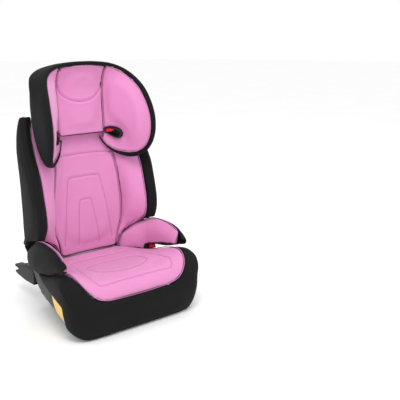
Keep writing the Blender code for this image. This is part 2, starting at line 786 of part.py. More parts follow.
def back_wing_foam(name, side):
    """The expanded foam between a wing's inner face and the shell."""
    rings = []
    for z in np.linspace(264, 544, 8):
        front = []
        for s in (0.14, 0.4, 0.66, 0.9):
            x, y, _ = back_wing_point(s, z)
            front.append((x + 3, y + BACK_PAD_DEPTH + 5, z))
        rim = along(RIM_X, z)
        rear = [(rim - 4, wing_shell_y(-4, z) - 6, z), (rim - 16, wing_shell_y(-14, z) - 6, z)]
        rings.append(front + rear)
    return loft(f"back_wing_foam_{name}", for_side(rings, side), foam_white())


HINGE_RADIUS = 6.0
HOOK_HALF = 7.0
SOCKET_X = (76.0, 88.0)


def hinge_hook(name, side):
    """A hook under the backrest that turns on the axle."""
    x = side * HINGE_X
    outline = [(87.8, 163), (93.8, 206), (104, 206), (110, 170), (116, 138), (119.5, 127), (119.5, 117),
               (115, 112), (109, 110.5), (103, 112), (98.5, 117), (97, 127), (95, 140), (91, 156)]
    hook = plate(f"hinge_hook_{name}", outline, x - HOOK_HALF, x + HOOK_HALF, "X", dark_plastic(), 1)
    bore = rod(f"hook_bore_{name}", (x, HINGE_Y, HINGE_Z), HINGE_RADIUS + GAP, 40, "X", None, 24, CUTTERS)
    return cut(hook, bore)


def hinge_axle():
    """The steel axle; it rests in the open sockets of the base."""
    reach = SOCKET_X[1] + 2
    mesh = tube_mesh([(-reach, HINGE_Y, HINGE_Z), (reach, HINGE_Y, HINGE_Z)], HINGE_RADIUS)
    return link("hinge_axle", mesh, steel())


def base_rear_deck():
    """The cross member behind the seat, with the open sockets for the axle."""
    deck = box("base_rear_deck", (-96, 93, 98), (96, 119.5, 107), grey_plastic())
    slot_half = HINGE_RADIUS + GAP
    for name, side in SIDES:
        low, high = sorted((side * SOCKET_X[0], side * SOCKET_X[1]))
        block = box(f"socket_{name}", (low, 98, 102), (high, 119.5, 131), None, 0, CUTTERS)
        leg = box(f"deck_leg_{name}", (low, 93.5, 10), (high, 97.5, 104), None, 0, CUTTERS)
        join(deck, block, leg)
    slot = box("socket_slot", (-100, HINGE_Y - slot_half, HINGE_Z - slot_half),
               (100, HINGE_Y + slot_half, 140), None, 0, CUTTERS)
    return cut(deck, slot)


# --- height adjustment of the headrest ---------------------------------------------------
RACK_HALF = 34.0
RACK_Z = (372.0, 566.0)
RACK_SET_BACK = SHELL_SET_BACK + WALL + GAP + 0.2
RACK_DEPTH = 3.5
NOTCH_PITCH = 25.0
CARRIAGE_HALF = 28.0
CARRIAGE_SET_BACK = RACK_SET_BACK + RACK_DEPTH + 2.0
CARRIAGE_DEPTH = 4.0


def lean_box(name, half, set_back, depth, low, high, mat, collection=PARTS):
    """A block that follows the lean of the backrest."""
    outline = []
    for z in (low, high):
        outline.append((centre_y(z) + set_back, z))
    for z in (high, low):
        outline.append((centre_y(z) + set_back + depth, z))
    return plate(name, outline, -half, half, "X", mat, 0, collection)


def height_rack():
    """The notched strip on the back of the shell, with a side rail each side of the carriage."""
    rack = lean_box("height_rack", RACK_HALF, RACK_SET_BACK, RACK_DEPTH, *RACK_Z, grey_plastic())
    for name, side in SIDES:
        low, high = sorted((side * (CARRIAGE_HALF + 1), side * RACK_HALF))
        outline = [(centre_y(z) + RACK_SET_BACK + d, z) for z, d in
                   ((RACK_Z[0], 1), (RACK_Z[1], 1), (RACK_Z[1], 13), (RACK_Z[0], 13))]
        join(rack, plate(f"rack_rail_{name}", outline, low, high, "X", None, 0, CUTTERS))
    for i in range(7):
        z = RACK_Z[0] + 20 + i * NOTCH_PITCH
        y = centre_y(z) + RACK_SET_BACK
        cut(rack, box(f"notch_{i}", (-14, y - 2, z - 4), (14, y + RACK_DEPTH + 2, z + 4), None, 0, CUTTERS))
    return rack


def headrest_carriage():
    """The sliding tongue behind the backrest and the block that carries the headrest."""
    tongue = lean_box("headrest_carriage", CARRIAGE_HALF, CARRIAGE_SET_BACK, CARRIAGE_DEPTH, 430, 694,
                      dark_plastic())
    rear = centre_y(660) + CARRIAGE_SET_BACK + 2
    block = box("carriage_block", (-26, 107.5, 634), (26, rear, 688), None, 0, CUTTERS)
    join(tongue, block)
    y = centre_y(LOCK_Z) + CARRIAGE_SET_BACK
    window = box("lock_window", (-15, y - 6, LOCK_Z - 4), (15, y + 12, LOCK_Z + 4), None, 0, CUTTERS)
    return cut(tongue, window)


LOCK_Z = 442.0


def headrest_lock_bar():
    """The bar that drops into the notches of the rack, drawn just clear of them."""
    y = centre_y(LOCK_Z) + RACK_SET_BACK + RACK_DEPTH + 0.8
    return box("headrest_lock_bar", (-13, y, LOCK_Z - 3), (13, y + 14, LOCK_Z + 3), steel())


def headrest_handle():
    """The squeeze handle behind the top of the headrest."""
    y = centre_y(684) + CARRIAGE_SET_BACK + CARRIAGE_DEPTH + 1.0
    outline = [(-24, 610), (24, 610), (24, 658), (38, 666), (38, 680), (30, 684), (-30, 684), (-38, 680),
               (-38, 666), (-24, 658)]
    return plate("headrest_handle", outline, y + 1.5, y + 8, "Y", red_plastic(), 1.5)


# --- headrest --------------------------------------------------------------------------
# the rim seam of the headrest, from the inner lower corner of a wing, round its lobe, up
# its front and over the top to the middle panel's seam
HEAD_RIM = ((67, 91, 501), (74, 82, 483), (89, 66, 464), (110, 45, 454), (129, 19, 451), (144, -3, 458),
            (153, -24, 474), (157, -39, 502), (158, -45, 540), (157, -39, 575), (154, -27, 605),
            (148, -8, 640), (138, 18, 667), (122, 42, 687), (100, 55, 700), (78, 60, 706))
# the seam between the middle panel and a wing, with the same number of intervals as the rim
HEAD_SEAM = ((70, 86, 507), (74, 83, 511), (76, 82, 519), (76, 82, 533), (75, 83, 550), (75, 84, 566),
             (75, 85, 580), (75, 86, 594), (75, 87, 606), (75, 88, 618), (75, 88, 632), (75, 87, 647),
             (75, 85, 663), (75, 80, 678), (75, 72, 692), (75, 64, 703))
# the rear edge of the headrest's cover, with the same number of intervals as the rim
HEAD_REAR = ((64, 96, 498), (74, 90, 477), (91, 76, 457), (112, 58, 444), (132, 38, 437), (148, 24, 438),
             (161, 20, 450), (170, 30, 482), (174, 44, 525), (175, 52, 565), (175, 56, 602), (176, 54, 640),
             (173, 62, 672), (156, 86, 690), (128, 96, 704), (98, 98, 711))
HEAD_PAD_DEPTH = 9.0
RIM_COUNT = 20


def head_rails():
    """Evenly divided rim and seam curves."""
    return spline(HEAD_RIM, RIM_COUNT), spline(HEAD_SEAM, RIM_COUNT)


def head_wing_pad(name, side):
    """The pink inner face of a headrest wing, from the panel's seam to the rim."""
    rim, seam = head_rails()
    rows = []
    for s in np.linspace(0, 1, 6):
        row = []
        for i in range(1, RIM_COUNT):
            a, b = seam[i] + np.array((1.3, 0, 0)), rim[i]
            bulge = 7 * math.sin(math.pi * s) * math.sin(math.pi * i / (RIM_COUNT - 1))
            row.append(tuple(a + (b - a) * s + np.array((bulge * 0.6, bulge * 0.5, 0))))
        rows.append(row)
    pad = skin(f"head_wing_pad_{name}", for_side(rows, side), HEAD_PAD_DEPTH, (side * 190, 120, 560), pink())
    return cut(pad, belt_slot(f"pad_slot_{name}", side, 0))


WING_ROOT = (73.0, 79.0)        # x, y of the wing's inner end
WING_ALONG = (0.571, -0.821)    # direction of the wing in plan
# outline of the shoulder belt's slot: distance along the wing, height
BELT_SLOT = ((-14, 513), (-6, 522), (14, 525), (38, 524), (52, 517), (57, 508), (52, 497), (44, 493),
             (30, 496), (15, 504), (2, 510))


def belt_slot(name, side, grow, depth=(-14, 60)):
    """A cutter square to the wing, for the shoulder belt to run through."""
    ux, uy = WING_ALONG
    centre = np.mean(BELT_SLOT, axis=0)
    rings = []
    for d in depth:
        ring = []
        for s, z in BELT_SLOT:
            s, z = s + np.sign(s - centre[0]) * grow, z + np.sign(z - centre[1]) * grow
            ring.append((side * (WING_ROOT[0] + ux * s - uy * d), WING_ROOT[1] + uy * s + ux * d, z))
        rings.append(ring)
    return loft(name, rings, None, CUTTERS)


def head_panel_y(z):
    """Front face of the headrest's middle panel."""
    return along(((512, 80), (560, 83), (606, 86), (640, 87), (663, 84), (685, 76), (700, 66), (712, 57)), z)


HEAD_PANEL_TOP = ((0, 709.2), (0.35, 708.8), (0.7, 706.9), (1, 704.0))   # share of the half width, z


def head_centre_pad():
    """The pink middle panel of the headrest."""
    rows = []
    for f in np.linspace(0, 1, 12):
        row = []
        for u in np.linspace(-1, 1, 9):
            z = HEAD_PANEL_BOTTOM + (along(HEAD_PANEL_TOP, abs(u)) - HEAD_PANEL_BOTTOM) * f
            row.append((HEAD_PANEL_X * u, head_panel_y(z) - 2 * (1 - u * u), z))
        rows.append(row)
    return skin("head_centre_pad", rows, HEAD_PAD_DEPTH, (0, 200, 600), pink())


def rim_outward(rail):
    """Unit vectors square to a rail in the front view, pointing away from the panel."""
    ahead = np.gradient(rail, axis=0)
    normal = np.stack([ahead[:, 2], np.zeros(len(rail)), -ahead[:, 0]], axis=1)
    return normal / np.linalg.norm(normal, axis=1)[:, None]


def head_outline():
    """Half of the headrest's rim with its outward vectors, from the lobe to the top middle."""
    rim, _ = head_rails()
    top = spline([(78, 60, 706), (52, 61, 709), (26, 62, 711), (0, 62, 711)], 5)[1:]
    rail = np.vstack([rim, top])
    return rail, rim_outward(rail)


COVER_REACH = 20.0              # the black edge stands this far outside the seam


def cover_rails():
    """Front and rear rails of the headrest's cover, with the growth of its edge along them."""
    rail, outward = head_outline()
    rear = np.vstack([spline(HEAD_REAR, RIM_COUNT),
                      spline([(98, 98, 711), (66, 99, 713), (33, 99, 714), (0, 99, 714)], 5)[1:]])
    growth = np.interp(np.arange(len(rail)), (0, 2, 6, 14, 18, 20), (0.18, 0.3, 0.92, 1.0, 0.62, 0.58))
    return rail, outward, rear, growth


def head_cover():
    """The black cover round the sides and the top of the headrest."""
    rail, outward, rear, growth = cover_rails()
    rows = []
    for reach, forward in ((1.6, -1.2), (8, -8), (16, -7), (COVER_REACH, 3)):
        rows.append([p + n * (1.6 + (reach - 1.6) * g) + np.array((0, -1.2 + (forward + 1.2) * g, 0))
                     for p, n, g in zip(rail, outward, growth)])
    front = np.array(rows[-1])
    for f in (0.5, 1.0):
        rows.append(list(front + (rear - front) * f))
    full = [[tuple(p) for p in row] + [(-p[0], p[1], p[2]) for p in reversed(row[:-1])] for row in rows]
    return skin("head_cover", full, COVER_DEPTH, (0, 40, 590), black())


SHELL_FIRST = 4                 # first station of the rail that the shell follows
SHELL_BEHIND_SEAM = HEAD_PAD_DEPTH + 9
SHELL_BOW = 8.0


def head_hub(i):
    """Point of the shell behind the seam of the middle panel."""
    seam = spline(HEAD_SEAM, RIM_COUNT)[i]
    return seam + np.array((-4, SHELL_BEHIND_SEAM, 0))


def head_edge(i):
    """Point of the shell inside the rear edge of the cover."""
    rear = spline(HEAD_REAR, RIM_COUNT)
    return rear[i] - rim_outward(rear)[i] * (COVER_DEPTH + 3) + np.array((0, 1.5, 0))


def shell_point(i, f):
    """Point of the headrest's shell at station i, from the hub (0) to the edge (1)."""
    hub, edge = head_hub(i), head_edge(i)
    return hub + (edge - hub) * f + np.array((0, SHELL_BOW * math.sin(math.pi * f), 0))


def head_shell():
    """The moulded back of the headrest."""
    rows = []
    for i in range(SHELL_FIRST, RIM_COUNT):
        hub = head_hub(i)
        right = [shell_point(i, f) for f in (0, 0.3, 0.65, 1.0)]
        middle = [(hub[0] * u, hub[1], hub[2]) for u in (-0.5, 0, 0.5)]
        rows.append([(-p[0], p[1], p[2]) for p in reversed(right)] + middle + [tuple(p) for p in right])
    shell = skin("head_shell", rows, WALL, (0, -500, 600), dark_plastic())
    for name, side in SIDES:
        cut(shell, belt_slot(f"shell_slot_{name}", side, 0))
    return shell


def head_wing_foam(name, side):
    """The expanded foam between a headrest wing and the shell."""
    rim, seam = head_rails()
    rings = []
    for i in range(8, RIM_COUNT - 4):
        front, back = [], []
        for s in (0.2, 0.5, 0.8):
            a, b = seam[i], rim[i]
            bulge = 7 * math.sin(math.pi * s) * math.sin(math.pi * i / (RIM_COUNT - 1))
            x, y, z = a + (b - a) * s + np.array((bulge * 0.6 + 9.2, bulge * 0.5 + 6.4, 0))
            f = (x - head_hub(i)[0]) / (head_edge(i)[0] - head_hub(i)[0])
            rear = shell_point(i, f)[1] - WALL - 3.5
            front.append((x, y, z))
            back.append((x, max(rear, y + 3), z))
        rings.append(front + back[::-1])
    foam = loft(f"head_wing_foam_{name}", for_side(rings, side), foam_white())
    return cut(foam, belt_slot(f"foam_slot_{name}", side, 8))


def shoulder_belt_guide(name, side):
    """The red lip in the slot of the headrest that keeps the shoulder belt in place."""
    ux, uy = WING_ALONG
    lip = ((6, 512.5), (7, 521), (14, 523), (30, 522.5), (33, 518), (22, 514), (12, 511))
    rings = []
    for d in (2, 15):
        rings.append([(side * (WING_ROOT[0] + ux * s - uy * d), WING_ROOT[1] + uy * s + ux * d, z)
                      for s, z in lip])
    return loft(f"shoulder_belt_guide_{name}", rings, red_plastic())


def main():
    """Build every part."""
    clear_scene()
    make_collection(PARTS)
    make_collection(CUTTERS)
    base_shell()
    base_tray()
    base_skirt()
    seat_pad()
    seat_foam()
    side_label()
    for name, side in SIDES:
        armrest_pad(name, side)
        armrest_cover(name, side)
        armrest_core(name, side)
        lap_belt_guide(name, side)
        anchor_guide(name, side)
        anchor_arm(name, side)
        connector_housing(name, side)
        connector_jaw(name, side)
        connector_button(name, side)
        back_wing_pad(name, side)
        back_cover(name, side)
        back_wing_foam(name, side)
        hinge_hook(name, side)
        head_wing_pad(name, side)
        head_wing_foam(name, side)
        shoulder_belt_guide(name, side)
    anchor_crossbar()
    anchor_release_bar()
    base_rear_deck()
    hinge_axle()
    back_centre_pad()
    back_shell()
    height_rack()
    head_centre_pad()
    head_cover()
    head_shell()
    headrest_carriage()
    headrest_lock_bar()
    headrest_handle()


main()
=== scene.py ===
"""Looks of the high-back booster seat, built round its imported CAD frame.

Lengths are in metres in the frame's own axes: X across the seat, -Y the front, +Z up.
"""

import json
import math

import bmesh
import bpy
import numpy as np
from mathutils import Matrix, Vector
from mathutils.bvhtree import BVHTree
from mathutils.kdtree import KDTree


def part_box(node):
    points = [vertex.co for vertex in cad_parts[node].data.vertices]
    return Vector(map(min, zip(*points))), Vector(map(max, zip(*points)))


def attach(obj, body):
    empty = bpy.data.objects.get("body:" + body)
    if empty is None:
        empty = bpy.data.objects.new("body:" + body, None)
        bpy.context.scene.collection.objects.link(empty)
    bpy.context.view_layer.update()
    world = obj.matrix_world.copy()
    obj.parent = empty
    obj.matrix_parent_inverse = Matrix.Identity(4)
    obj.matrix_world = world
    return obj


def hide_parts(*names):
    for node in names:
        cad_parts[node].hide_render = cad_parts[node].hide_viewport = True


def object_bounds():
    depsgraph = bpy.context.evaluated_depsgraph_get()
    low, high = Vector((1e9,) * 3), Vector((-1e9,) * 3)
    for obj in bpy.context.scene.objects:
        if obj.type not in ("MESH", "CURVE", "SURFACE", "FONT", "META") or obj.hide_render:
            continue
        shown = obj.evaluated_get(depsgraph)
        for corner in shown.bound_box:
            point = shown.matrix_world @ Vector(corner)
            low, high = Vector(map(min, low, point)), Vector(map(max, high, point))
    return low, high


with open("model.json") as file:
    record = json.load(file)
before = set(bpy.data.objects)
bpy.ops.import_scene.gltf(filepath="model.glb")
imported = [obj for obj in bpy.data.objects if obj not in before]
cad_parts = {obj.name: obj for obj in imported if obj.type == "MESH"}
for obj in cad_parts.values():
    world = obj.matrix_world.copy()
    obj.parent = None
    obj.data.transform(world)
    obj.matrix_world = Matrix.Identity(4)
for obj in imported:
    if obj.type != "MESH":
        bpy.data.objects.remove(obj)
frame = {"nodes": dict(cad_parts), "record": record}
CAD_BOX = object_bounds()
NODES = frame["nodes"]
SIDES = (("right", 1), ("left", -1))
MM = 0.001

# --- camera: the angle of view that the seat is shown from ------------------------------
CAMERA_AZIMUTH = math.radians(-39.8)
CAMERA_ELEVATION = math.radians(14.3)
CAMERA_DISTANCE = 2.0566
CAMERA_LENS = 63.2
CAMERA_SIDE = 0.2957            # the aim point, to the right of the seat's middle
CAMERA_HEIGHT = 0.3265

# --- colours, linear RGB ----------------------------------------------------------------
PINK = (0.685, 0.258, 0.505)
# the deep colours here and below are painted shade: the knit's hollows between its loops are painted in them
PINK_LOOP_SHADE = (0.50, 0.145, 0.34)
# darker thread for the topstitching: partly the thread's colour, partly painted shade of the pressed lines
PINK_THREAD = (0.42, 0.10, 0.27)
BLACK = (0.0075, 0.0075, 0.0079)
BLACK_LOOP_SHADE = (0.003, 0.003, 0.0033)
# colour of the black cord on the pads' free borders: partly a dark edge, partly painted shade of the gap under a pad
SEAM_BLACK_AND_SHADE = (0.016, 0.005, 0.012)

# --- soft goods --------------------------------------------------------------------------
VOXEL = 0.004
SHARP = math.radians(50)        # a CAD edge sharper than this is a pad's border
SIM_FRAMES = 20
SIM_PRESSURE = 4.0
SWELL_EVENING = 60              # rounds of averaging on what the simulation moved
CLEARANCE_REACH = 0.03
EDGE_ROUND = 0.02               # distance over which a pad rises from its border
WING_SHARP = math.radians(62)   # the same for the side pads of the back, whose foot is twisted
CORNER = -0.75                  # cosine between border edges above which a corner stays
FINE_VOXEL = 0.0027             # for the thin covers, which are not refined again


# --- materials ---------------------------------------------------------------------------
class Net:
    """A Principled material whose node tree is built one node at a time."""

    def __init__(self, name):
        self.mat = bpy.data.materials.new(name)
        self.mat.use_nodes = True
        self.tree = self.mat.node_tree
        self.shader = self.tree.nodes["Principled BSDF"]
        place = self.tree.nodes.new("ShaderNodeTexCoord")
        self.place = place.outputs["Object"]
        self.facing = place.outputs["Normal"]

    def put(self, socket, value):
        """Link a socket to another, or give it a value."""
        if isinstance(value, bpy.types.NodeSocket):
            self.tree.links.new(value, socket)
        elif socket.type == "RGBA" and len(value) == 3:
            socket.default_value = (*value, 1.0)
        else:
            socket.default_value = value

    def add(self, kind, inputs, out=0, **settings):
        """A node with settings and inputs, given by name or by number; returns one output."""
        node = self.tree.nodes.new("ShaderNode" + kind)
        for key, value in settings.items():
            setattr(node, key, value)
        for key, value in inputs.items():
            self.put(node.inputs[key], value)
        return node.outputs[out]

    def maths(self, operation, a, b=0.0):
        return self.add("Math", {0: a, 1: b}, operation=operation)

    def noise(self, scale, detail=2.0, at=None):
        return self.add("TexNoise", {"Vector": at or self.place, "Scale": scale, "Detail": detail})

    def ramp(self, value, low, high):
        """A value mapped from low..high to 0..1 and clamped."""
        return self.add("MapRange", {"Value": value, "From Min": low, "From Max": high})

    def mix(self, factor, a, b):
        node = self.tree.nodes.new("ShaderNodeMix")
        node.data_type = "RGBA"
        for index, value in ((0, factor), (6, a), (7, b)):
            self.put(node.inputs[index], value)
        return node.outputs[2]

    def bump(self, height, distance, below=None):
        inputs = {"Height": height, "Distance": distance, "Strength": 1.0}
        if below is not None:
            inputs["Normal"] = below
        return self.add("Bump", inputs)

    def finish(self, **inputs):
        """Set the shader's inputs, named with underscores for spaces."""
        for key, value in inputs.items():
            self.put(self.shader.inputs[key.replace("_", " ")], value)
        return self.mat


def lightened(colour, factor):
    return tuple(min(c * factor, 1.0) for c in colour)


def fabric(name, colour, deep, pitch, bump, sheen, specular=0.3, tint=(1.0, 0.9, 0.97)):
    """A knitted jersey: fine loops at a pitch in metres, with soft dimples and worn patches; the hollows between the
    loops are painted in the deep colour as painted shade.
    """
    net = Net(name)
    drift = net.add("VectorMath", {0: net.add("TexNoise", {"Vector": net.place, "Scale": 90.0}, 1),
                                   1: (0.0009, 0.0009, 0.0009)}, operation="MULTIPLY")
    place = net.add("VectorMath", {0: net.place, 1: drift}, operation="ADD")
    turn = 2 * math.pi / pitch
    phase = net.add("VectorMath", {0: place, 1: (turn, turn * 1.18, turn * 1.07)}, operation="MULTIPLY")
    waves = net.add("VectorMath", {0: phase}, operation="SINE")
    square = net.add("VectorMath", {0: net.facing, 1: net.facing}, operation="MULTIPLY")
    across = net.add("VectorMath", {0: (1.0, 1.0, 1.0), 1: square}, operation="SUBTRACT")
    across = net.add("VectorMath", {0: across, 1: across}, operation="MULTIPLY")
    weave = net.add("VectorMath", {0: waves, 1: across}, 1, operation="DOT_PRODUCT")
    loops = net.ramp(weave, -1.9, 1.9)
    tone = net.ramp(net.noise(7.0, 3.0), 0.3, 0.7)
    fuzz = net.noise(900.0, 3.0)
    # painted shade: where the loops' bump is lowest, the knit takes the darker deep colour
    base = net.mix(net.ramp(loops, 0.0, 0.45), deep, colour)
    base = net.mix(net.maths("MULTIPLY", tone, 0.22), base, lightened(colour, 1.13))
    base = net.mix(net.maths("MULTIPLY", fuzz, 0.14), base, lightened(colour, 1.3))
    dimples = net.bump(net.noise(30.0, 2.0), 0.0012)
    normal = net.bump(net.maths("ADD", loops, net.maths("MULTIPLY", fuzz, 0.5)), bump, dimples)
    rough = net.maths("ADD", net.maths("MULTIPLY", fuzz, 0.18), 0.64)
    return net.finish(Base_Color=base, Roughness=rough, Normal=normal, Sheen_Weight=sheen,
                      Sheen_Roughness=0.45, Sheen_Tint=tint, Specular_IOR_Level=specular)


def thread(name, colour, specular=0.3):
    """Twisted thread or corded piping, with a fine slanting lay."""
    net = Net(name)
    slant = net.add("VectorMath", {0: net.place, 1: (3400.0, 3400.0, 3400.0)}, 1, operation="DOT_PRODUCT")
    lay = net.maths("SINE", net.maths("ADD", slant, net.maths("MULTIPLY", net.noise(300.0), 4.0)))
    ply = net.ramp(lay, -1.0, 1.0)
    base = net.mix(ply, lightened(colour, 0.62), lightened(colour, 1.12))
    rough = net.maths("ADD", net.maths("MULTIPLY", net.noise(500.0), 0.2), 0.5)
    return net.finish(Base_Color=base, Roughness=rough, Normal=net.bump(ply, 0.0002),
                      Sheen_Weight=0.2, Specular_IOR_Level=specular)


def plastic(name, colour, rough, grain, coat=0.0):
    """Moulded plastic with a spark-eroded grain and edges rubbed lighter."""
    net = Net(name)
    rounded = net.add("Bevel", {"Radius": 0.0012}, samples=4)
    facing = net.tree.nodes.new("ShaderNodeNewGeometry").outputs["Normal"]
    flat = net.add("VectorMath", {0: rounded, 1: facing}, 1, operation="DOT_PRODUCT")
    edge = net.ramp(flat, 0.999, 0.86)
    worn = net.maths("MULTIPLY", edge, net.ramp(net.noise(60.0, 4.0), 0.35, 0.75))
    tone = net.ramp(net.noise(11.0, 3.0), 0.3, 0.7)
    base = net.mix(net.maths("MULTIPLY", tone, 0.3), colour, lightened(colour, 1.35))
    base = net.mix(net.maths("MULTIPLY", worn, 0.55), base, lightened(colour, 2.6))
    pits = net.add("TexVoronoi", {"Vector": net.place, "Scale": 1300.0})
    height = net.maths("ADD", pits, net.maths("MULTIPLY", net.noise(2600.0), 0.5))
    handled = net.ramp(net.noise(24.0, 5.0), 0.3, 0.75)
    gloss = net.maths("SUBTRACT", net.maths("ADD", net.maths("MULTIPLY", handled, 0.16), rough - 0.05),
                      net.maths("MULTIPLY", worn, 0.12))
    return net.finish(Base_Color=base, Roughness=gloss, Normal=net.bump(height, grain, rounded),
                      Specular_IOR_Level=0.34, Coat_Weight=coat)


def bead_foam(name):
    """White expanded foam: packed beads about 4 mm across."""
    net = Net(name)
    beads = net.add("TexVoronoi", {"Vector": net.place, "Scale": 250.0, "Randomness": 0.85})
    pores = net.noise(1400.0, 2.0)
    base = net.mix(net.ramp(beads, 0.35, 0.75), (0.74, 0.74, 0.72), (0.58, 0.58, 0.56))
    base = net.mix(net.ramp(pores, 0.62, 0.75), base, (0.5, 0.5, 0.48))
    height = net.maths("SUBTRACT", pores, net.maths("MULTIPLY", beads, 2.0))
    rough = net.ramp(pores, -3.0, 0.9)
    return net.finish(Base_Color=base, Roughness=rough, Normal=net.bump(height, 0.0004),
                      Specular_IOR_Level=0.25)


def plated_steel(name):
    """Zinc-plated steel with crystalline spangle and drawing marks along Y."""
    net = Net(name)
    spangle = net.add("TexVoronoi", {"Vector": net.place, "Scale": 190.0}, 1)
    stretched = net.add("VectorMath", {0: net.place, 1: (1800.0, 60.0, 1800.0)}, operation="MULTIPLY")
    marks = net.noise(1.0, 3.0, stretched)
    shade = net.add("SeparateColor", {0: spangle})
    base = net.mix(shade, (0.42, 0.42, 0.43), (0.6, 0.6, 0.61))
    base = net.mix(net.ramp(net.noise(30.0, 4.0), 0.62, 0.8), base, (0.3, 0.29, 0.27))
    rough = net.maths("ADD", net.maths("MULTIPLY", marks, 0.2), 0.24)
    return net.finish(Base_Color=base, Metallic=1.0, Roughness=rough, Normal=net.bump(marks, 0.00012))


def vinyl(name, colour):
    """A blank printed sticker: smooth vinyl, a little faded, with faint ripples."""
    net = Net(name)
    fade = net.ramp(net.noise(26.0, 3.0), 0.3, 0.75)
    base = net.mix(net.maths("MULTIPLY", fade, 0.35), colour, lightened(colour, 1.18))
    specks = net.ramp(net.noise(420.0, 2.0), 0.66, 0.78)
    base = net.mix(net.maths("MULTIPLY", specks, 0.25), base, lightened(colour, 0.7))
    rough = net.maths("ADD", net.maths("MULTIPLY", fade, 0.14), 0.36)
    return net.finish(Base_Color=base, Roughness=rough, Normal=net.bump(net.noise(70.0, 2.0), 0.0004),
                      Coat_Weight=0.15)


MATERIALS = {
    "pink_fabric": fabric("pink_jersey", PINK, PINK_LOOP_SHADE, 0.0016, 0.00022, 0.4),
    "black_fabric": fabric("black_jersey", BLACK, BLACK_LOOP_SHADE, 0.0014, 0.00025, 0.03, 0.12, (0.8, 0.8, 0.85)),
    "dark_plastic": plastic("dark_moulding", (0.012, 0.012, 0.0125), 0.52, 0.00010),
    "grey_plastic": plastic("grey_moulding", (0.06, 0.06, 0.064), 0.5, 0.00010),
    "expanded_foam": bead_foam("bead_foam"),
    "red_plastic": plastic("red_moulding", (0.72, 0.008, 0.03), 0.36, 0.00004, 0.2),
    "yellow_label": vinyl("yellow_vinyl", (0.93, 0.55, 0.075)),
    "zinc_steel": plated_steel("plated_steel"),
}
BRIGHT_PIPING = thread("bright_piping", (0.70, 0.28, 0.53))
# the pink cord is darker than the cloth: painted shade of the seams where pads meet and of the pressed lines
PINK_SEAM_SHADE_PIPING = thread("pink_seam_shade_piping", (0.62, 0.21, 0.45))
BLACK_AND_SHADE_PIPING = thread("black_and_shade_piping", SEAM_BLACK_AND_SHADE, 0.12)
PINK_STITCH = thread("pink_stitching", PINK_THREAD)
BLACK_STITCH = thread("black_stitching", (0.035, 0.033, 0.036), 0.2)

BODY_OF = {node: body for body, nodes in frame["record"]["behaviour"]["bodies"].items() for node in nodes}
SLOT_OF = {part["node"]: part["material_slot"] for part in frame["record"]["subparts"]}


# --- geometry helpers --------------------------------------------------------------------
def show(name, mesh, material):
    """A new object in the scene with one material."""
    piece = bpy.data.objects.new(name, mesh)
    bpy.context.scene.collection.objects.link(piece)
    if not mesh.materials:
        mesh.materials.append(material)
    return piece


def applied(piece):
    """Apply a piece's modifiers to its mesh."""
    graph = bpy.context.evaluated_depsgraph_get()
    mesh = bpy.data.meshes.new_from_object(piece.evaluated_get(graph), depsgraph=graph)
    old = piece.data
    piece.modifiers.clear()
    piece.data = mesh
    bpy.data.meshes.remove(old)
    return piece


def coordinates(mesh):
    """A mesh's points as an array."""
    flat = np.empty(len(mesh.vertices) * 3, np.float32)
    mesh.vertices.foreach_get("co", flat)
    return flat.reshape(-1, 3).astype(float)


def normals(mesh):
    """A mesh's point normals as an array."""
    return np.array([v.normal[:] for v in mesh.vertices])


def move_points(mesh, points):
    mesh.vertices.foreach_set("co", points.astype(np.float32).ravel())
    mesh.update()


def welded(node):
    """A CAD node's mesh as a bmesh, its split corners joined again."""
    bm = bmesh.new()
    bm.from_mesh(NODES[node].data)
    bmesh.ops.remove_doubles(bm, verts=bm.verts, dist=0.00002)
    bm.normal_update()
    return bm


def tree_of(skipped):
    """A search tree over every CAD node but the skipped ones."""
    points, faces = [], []
    for name, node in NODES.items():
        if name in skipped:
            continue
        start = len(points)
        points += [v.co.copy() for v in node.data.vertices]
        faces += [[start + i for i in f.vertices] for f in node.data.polygons]
    return BVHTree.FromPolygons(points, faces)


def regions(bm):
    """The faces of a mesh in groups that meet at no sharp edge, largest first."""
    seen, groups = set(), []
    for first in bm.faces:
        if first in seen:
            continue
        seen.add(first)
        group, queue = [], [first]
        while queue:
            face = queue.pop()
            group.append(face)
            for edge in face.edges:
                if len(edge.link_faces) != 2 or edge.calc_face_angle(0.0) > SHARP:
                    continue
                for other in edge.link_faces:
                    if other not in seen:
                        seen.add(other)
                        queue.append(other)
        groups.append(group)
    return sorted(groups, key=lambda g: -sum(f.calc_area() for f in g))


def openness(group, others):
    """How much of a group of faces looks out on open space."""
    total = free = 0.0
    for face in group:
        centre, area = face.calc_center_median(), face.calc_area()
        total += area
        if others.ray_cast(centre + face.normal * 0.0002, face.normal, 0.06)[0] is None:
            free += area
    return free / total


def border_loops(bm, others):
    """The closed borders of the side of a pad that shows, as arrays of points."""
    largest = regions(bm)[:2]
    face_set = set(max(largest, key=lambda group: openness(group, others)))
    ahead = {}
    for face in face_set:
        for loop in face.loops:
            if not set(loop.edge.link_faces) <= face_set:
                ahead.setdefault(loop.vert, []).append(loop.link_loop_next.vert)
    loops = []
    while ahead:
        start = vert = next(iter(ahead))
        ring = []
        while vert in ahead:
            ring.append(vert.co[:])
            after = ahead[vert].pop()
            if not ahead[vert]:
                del ahead[vert]
            vert = after
            if vert is start:
                break
        if len(ring) > 5:
            loops.append(np.array(ring))
    return loops, face_set


def resampled(points, step, closed):
    """Points at an even step along a line."""
    points = np.asarray(points, float)
    if closed:
        points = np.vstack([points, points[:1]])
    lengths = np.concatenate([[0.0], np.cumsum(np.linalg.norm(np.diff(points, axis=0), axis=1))])
    count = max(int(lengths[-1] / step), 6)
    at = np.linspace(0, lengths[-1], count + 1)[:-1] if closed else np.linspace(0, lengths[-1], count)
    return np.stack([np.interp(at, lengths, points[:, axis]) for axis in range(3)], axis=1)


